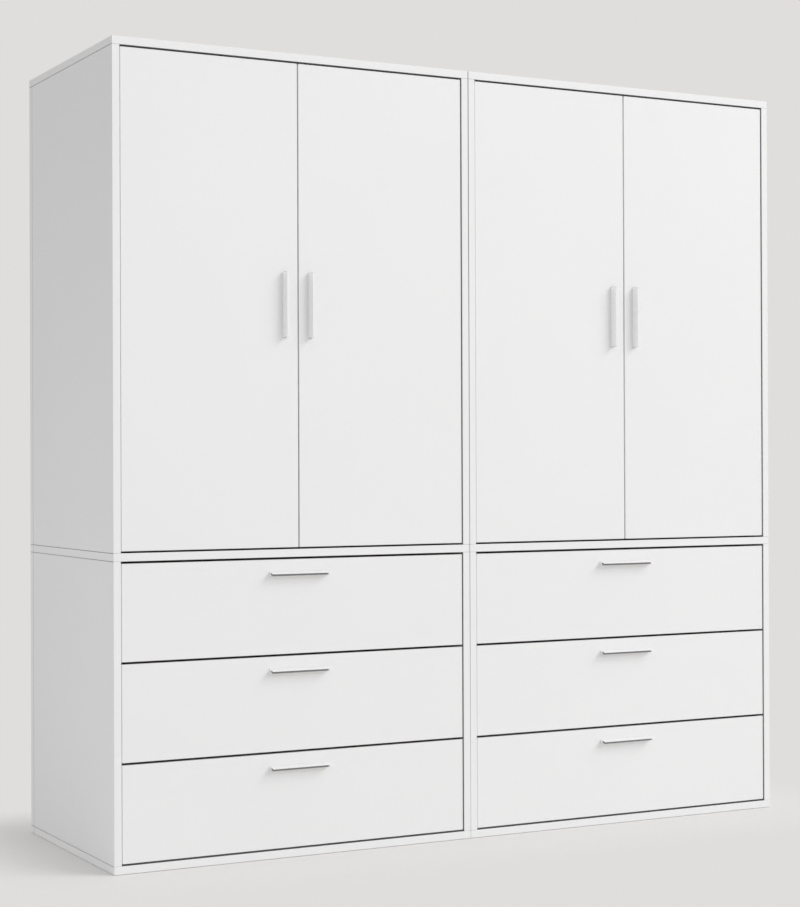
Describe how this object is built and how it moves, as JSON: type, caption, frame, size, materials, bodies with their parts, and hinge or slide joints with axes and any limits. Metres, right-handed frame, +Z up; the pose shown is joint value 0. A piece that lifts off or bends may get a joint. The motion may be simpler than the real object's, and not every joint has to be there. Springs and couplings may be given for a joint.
{
  "type": "freestanding wardrobe",
  "caption": "White freestanding wardrobe in matching columns, each a cupboard with inset hinged doors and a clothes rail over a bank of inset drawers with angle handles.",
  "frame": {"origin": "on the floor, under the middle of the overall box", "axes": "+Z up, front towards -Y, +X to the right as seen from the front"},
  "size_m": [1.8004, 0.6053, 1.84],
  "materials": {
    "white_board": "white satin melamine-faced board with matching edging",
    "white_front": "white satin lacquered front",
    "drawer_board": "off-white matt foil on thin board",
    "satin_aluminium": "satin anodised, fine brushed along its length",
    "nickel_plate": "satin nickel plate",
    "polished_rail": "polished chrome plate"
  },
  "bodies": {
    "carcass": {"left_bottom_board": "white_board", "left_mid_board": "white_board", "left_top_board": "white_board", "left_lower_back": "white_board", "left_lower_left_side": "white_board", "left_lower_right_side": "white_board", "left_upper_back": "white_board", "left_upper_left_side": "white_board", "left_upper_right_side": "white_board", "left_clothes_rail": "polished_rail", "left_left_door_lower_hinge": "nickel_plate", "left_left_door_middle_hinge": "nickel_plate", "left_left_door_upper_hinge": "nickel_plate", "left_right_door_lower_hinge": "nickel_plate", "left_right_door_middle_hinge": "nickel_plate", "left_right_door_upper_hinge": "nickel_plate", "right_bottom_board": "white_board", "right_mid_board": "white_board", "right_top_board": "white_board", "right_lower_back": "white_board", "right_lower_left_side": "white_board", "right_lower_right_side": "white_board", "right_upper_back": "white_board", "right_upper_left_side": "white_board", "right_upper_right_side": "white_board", "right_clothes_rail": "polished_rail", "right_left_door_lower_hinge": "nickel_plate", "right_left_door_middle_hinge": "nickel_plate", "right_left_door_upper_hinge": "nickel_plate", "right_right_door_lower_hinge": "nickel_plate", "right_right_door_middle_hinge": "nickel_plate", "right_right_door_upper_hinge": "nickel_plate"},
    "left_drawer_1": {"left_drawer_1_front": "white_front", "left_drawer_1_box": "drawer_board", "left_drawer_1_handle": "satin_aluminium"},
    "left_drawer_2": {"left_drawer_2_front": "white_front", "left_drawer_2_box": "drawer_board", "left_drawer_2_handle": "satin_aluminium"},
    "left_drawer_3": {"left_drawer_3_front": "white_front", "left_drawer_3_box": "drawer_board", "left_drawer_3_handle": "satin_aluminium"},
    "left_left_door": {"left_left_door": "white_front", "left_left_door_handle": "satin_aluminium"},
    "left_right_door": {"left_right_door": "white_front", "left_right_door_handle": "satin_aluminium"},
    "right_drawer_1": {"right_drawer_1_front": "white_front", "right_drawer_1_box": "drawer_board", "right_drawer_1_handle": "satin_aluminium"},
    "right_drawer_2": {"right_drawer_2_front": "white_front", "right_drawer_2_box": "drawer_board", "right_drawer_2_handle": "satin_aluminium"},
    "right_drawer_3": {"right_drawer_3_front": "white_front", "right_drawer_3_box": "drawer_board", "right_drawer_3_handle": "satin_aluminium"},
    "right_left_door": {"right_left_door": "white_front", "right_left_door_handle": "satin_aluminium"},
    "right_right_door": {"right_right_door": "white_front", "right_right_door_handle": "satin_aluminium"}
  },
  "joints": [
    {"name": "left_drawer_1_slide", "type": "slide", "parent": "carcass", "child": "left_drawer_1", "axis": [0, -1, 0], "range_m": [0, 0.38]},
    {"name": "left_drawer_2_slide", "type": "slide", "parent": "carcass", "child": "left_drawer_2", "axis": [0, -1, 0], "range_m": [0, 0.38]},
    {"name": "left_drawer_3_slide", "type": "slide", "parent": "carcass", "child": "left_drawer_3", "axis": [0, -1, 0], "range_m": [0, 0.38]},
    {"name": "left_left_door_hinge", "type": "hinge", "parent": "carcass", "child": "left_left_door", "pos_m": [-0.87015, -0.27975, 0.7079], "axis": [0, 0, -1], "range_deg": [0, 110]},
    {"name": "left_right_door_hinge", "type": "hinge", "parent": "carcass", "child": "left_right_door", "pos_m": [-0.03015, -0.27975, 0.7079], "axis": [0, 0, 1], "range_deg": [0, 90]},
    {"name": "right_drawer_1_slide", "type": "slide", "parent": "carcass", "child": "right_drawer_1", "axis": [0, -1, 0], "range_m": [0, 0.38]},
    {"name": "right_drawer_2_slide", "type": "slide", "parent": "carcass", "child": "right_drawer_2", "axis": [0, -1, 0], "range_m": [0, 0.38]},
    {"name": "right_drawer_3_slide", "type": "slide", "parent": "carcass", "child": "right_drawer_3", "axis": [0, -1, 0], "range_m": [0, 0.38]},
    {"name": "right_left_door_hinge", "type": "hinge", "parent": "carcass", "child": "right_left_door", "pos_m": [0.03015, -0.27975, 0.7079], "axis": [0, 0, -1], "range_deg": [0, 90]},
    {"name": "right_right_door_hinge", "type": "hinge", "parent": "carcass", "child": "right_right_door", "pos_m": [0.87015, -0.27975, 0.7079], "axis": [0, 0, 1], "range_deg": [0, 110]}
  ]
}
